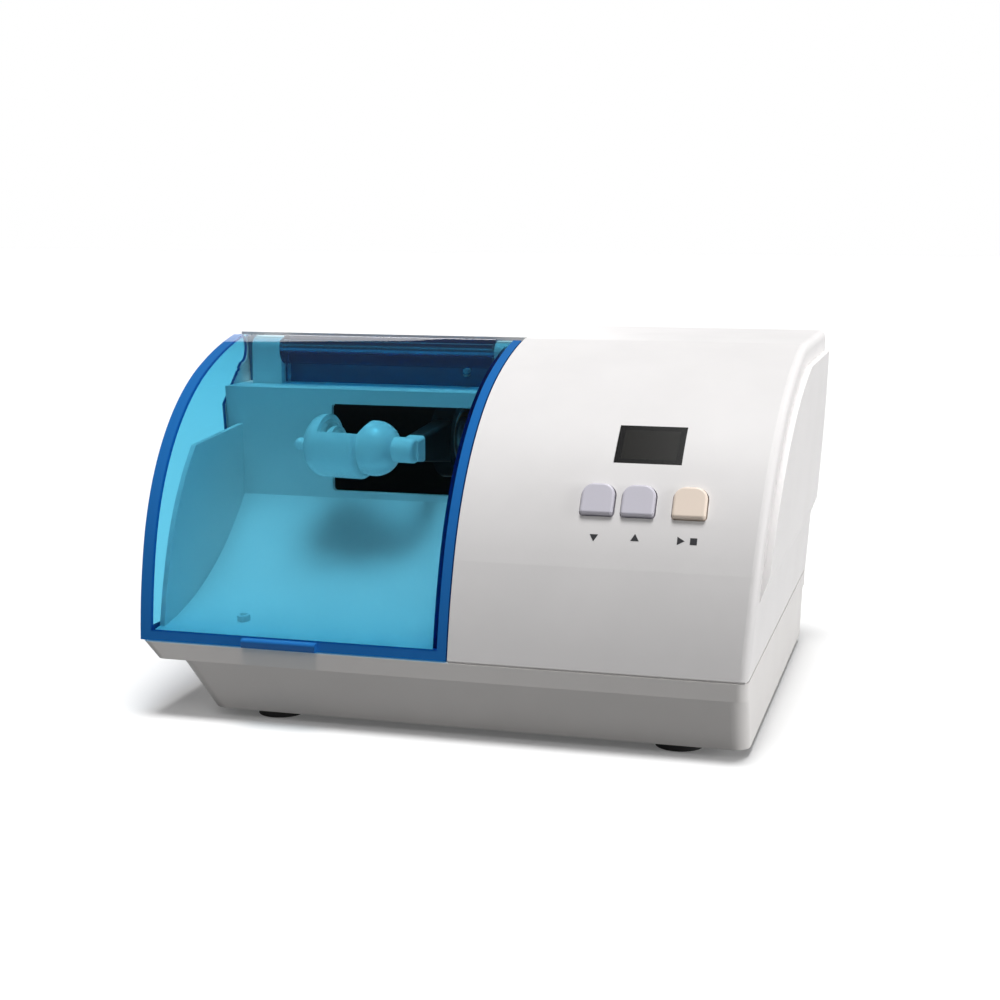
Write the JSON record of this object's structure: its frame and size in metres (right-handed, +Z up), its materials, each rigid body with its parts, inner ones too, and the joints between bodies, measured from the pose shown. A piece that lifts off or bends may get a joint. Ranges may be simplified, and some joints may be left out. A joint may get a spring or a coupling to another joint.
{
  "type": "dental capsule mixer",
  "caption": "Bench-top capsule mixer with a clear blue hinged lid over a spring clamp on a nutating arm, beside a curved control fascia.",
  "frame": {"origin": "middle of the box round the whole device, on the surface that its feet rest on", "axes": "+X to the right as a user faces it, +Y to the rear, +Z up"},
  "size_m": [0.2504, 0.2146, 0.1413],
  "materials": {
    "white_plastic": "satin moulded",
    "base_plastic": "satin moulded",
    "chamber_plastic": "satin moulded",
    "lid_plastic": "clear tinted",
    "clamp_plastic": "satin moulded",
    "display_plastic": "polished",
    "lavender_plastic": "satin",
    "cream_plastic": "satin",
    "black_plastic": "matte",
    "rubber": "matte",
    "steel": "ground",
    "zinc": "plated",
    "spring_steel": "drawn",
    "brass": "plated",
    "board": "solder mask",
    "copper": "enamelled winding"
  },
  "bodies": {
    "root": {"arm_springs": "spring_steel", "base_tray": "base_plastic", "board_screws": "zinc", "button_spring_less": "spring_steel", "button_spring_more": "spring_steel", "button_spring_start": "spring_steel", "control_board": "board", "display_module": "black_plastic", "display_window": "display_plastic", "fuse_cap": "black_plastic", "fuse_holder": "black_plastic", "hinge_rod": "steel", "housing_screws": "zinc", "inlet_blades": "brass", "lid_switch": "black_plastic", "mixing_chamber": "chamber_plastic", "motor": "zinc", "motor_bracket": "zinc", "mount_screws": "zinc", "power_board": "board", "power_inlet": "black_plastic", "rubber_feet": "rubber", "switch_bezel": "black_plastic", "tact_switches": "black_plastic", "transformer_coil": "copper", "transformer_core": "steel", "upper_housing": "white_plastic", "vibration_mounts": "rubber"},
    "lid": {"lid": "lid_plastic"},
    "motor_rotor": {"motor_shaft": "steel", "inclined_sleeve": "steel", "bearing_inner_race": "steel", "shaft_nut": "zinc"},
    "ball_set": {"bearing_balls": "steel", "bearing_cage": "brass"},
    "arm": {"mixing_arm": "clamp_plastic", "bearing_outer_race": "steel", "clamp_frame": "clamp_plastic", "clamp_spring": "spring_steel"},
    "clamp_slide": {"clamp_jaw": "clamp_plastic", "clamp_knob": "clamp_plastic"},
    "less_key": {"button_less": "lavender_plastic"},
    "more_key": {"button_more": "lavender_plastic"},
    "start_key": {"button_start": "cream_plastic"},
    "rocker": {"switch_rocker": "black_plastic"},
    "switch_pin": {"lid_switch_plunger": "cream_plastic"}
  },
  "joints": [
    {"name": "lid_hinge", "type": "hinge", "parent": "root", "child": "lid", "pos_m": [0, 0.00551, 0.13425], "axis": [-1, 0, 0], "range_deg": [0, 85]},
    {"name": "motor_spin", "type": "hinge", "parent": "root", "child": "motor_rotor", "pos_m": [-0.02503, 0.01074, 0.0982], "axis": [1, 0, 0], "continuous": true},
    {"name": "arm_swash", "type": "hinge", "parent": "motor_rotor", "child": "arm", "pos_m": [-0.02503, 0.01074, 0.0982], "axis": [0.9914, -0.1305, 0], "continuous": true, "deforming": ["arm_springs"]},
    {"name": "cage_turn", "type": "hinge", "parent": "motor_rotor", "child": "ball_set", "pos_m": [-0.02503, 0.01074, 0.0982], "axis": [0.9914, -0.1305, 0], "continuous": true},
    {"name": "clamp_pull", "type": "slide", "parent": "arm", "child": "clamp_slide", "axis": [-0.9914, 0.1305, 0], "range_m": [0, 0.0048], "stiffness_N_per_m": 350, "springref_m": -0.003, "deforming": ["clamp_spring"]},
    {"name": "less_press", "type": "slide", "parent": "root", "child": "less_key", "axis": [0, 0.8265, -0.5629], "range_m": [0, 0.0008], "stiffness_N_per_m": 250, "springref_m": -0.0008, "deforming": ["button_spring_less"]},
    {"name": "more_press", "type": "slide", "parent": "root", "child": "more_key", "axis": [0, 0.8265, -0.5629], "range_m": [0, 0.0008], "stiffness_N_per_m": 250, "springref_m": -0.0008, "deforming": ["button_spring_more"]},
    {"name": "start_press", "type": "slide", "parent": "root", "child": "start_key", "axis": [0, 0.8265, -0.5629], "range_m": [0, 0.0008], "stiffness_N_per_m": 250, "springref_m": -0.0008, "deforming": ["button_spring_start"]},
    {"name": "rocker_tip", "type": "hinge", "parent": "root", "child": "rocker", "pos_m": [0.04647, 0.09978, 0.05431], "axis": [0, -0.1045, -0.9945], "range_deg": [0, 22]},
    {"name": "switch_follow", "type": "slide", "parent": "root", "child": "switch_pin", "axis": [0, -1, 0], "range_m": [0, 0.001]}
  ],
  "couplings": [
    {"joint": "arm_swash", "follows": "motor_spin", "ratio": -1},
    {"joint": "cage_turn", "follows": "motor_spin", "ratio": -0.615},
    {"joint": "switch_follow", "follows": "lid_hinge", "m_per_rad": 0.00067339}
  ]
}
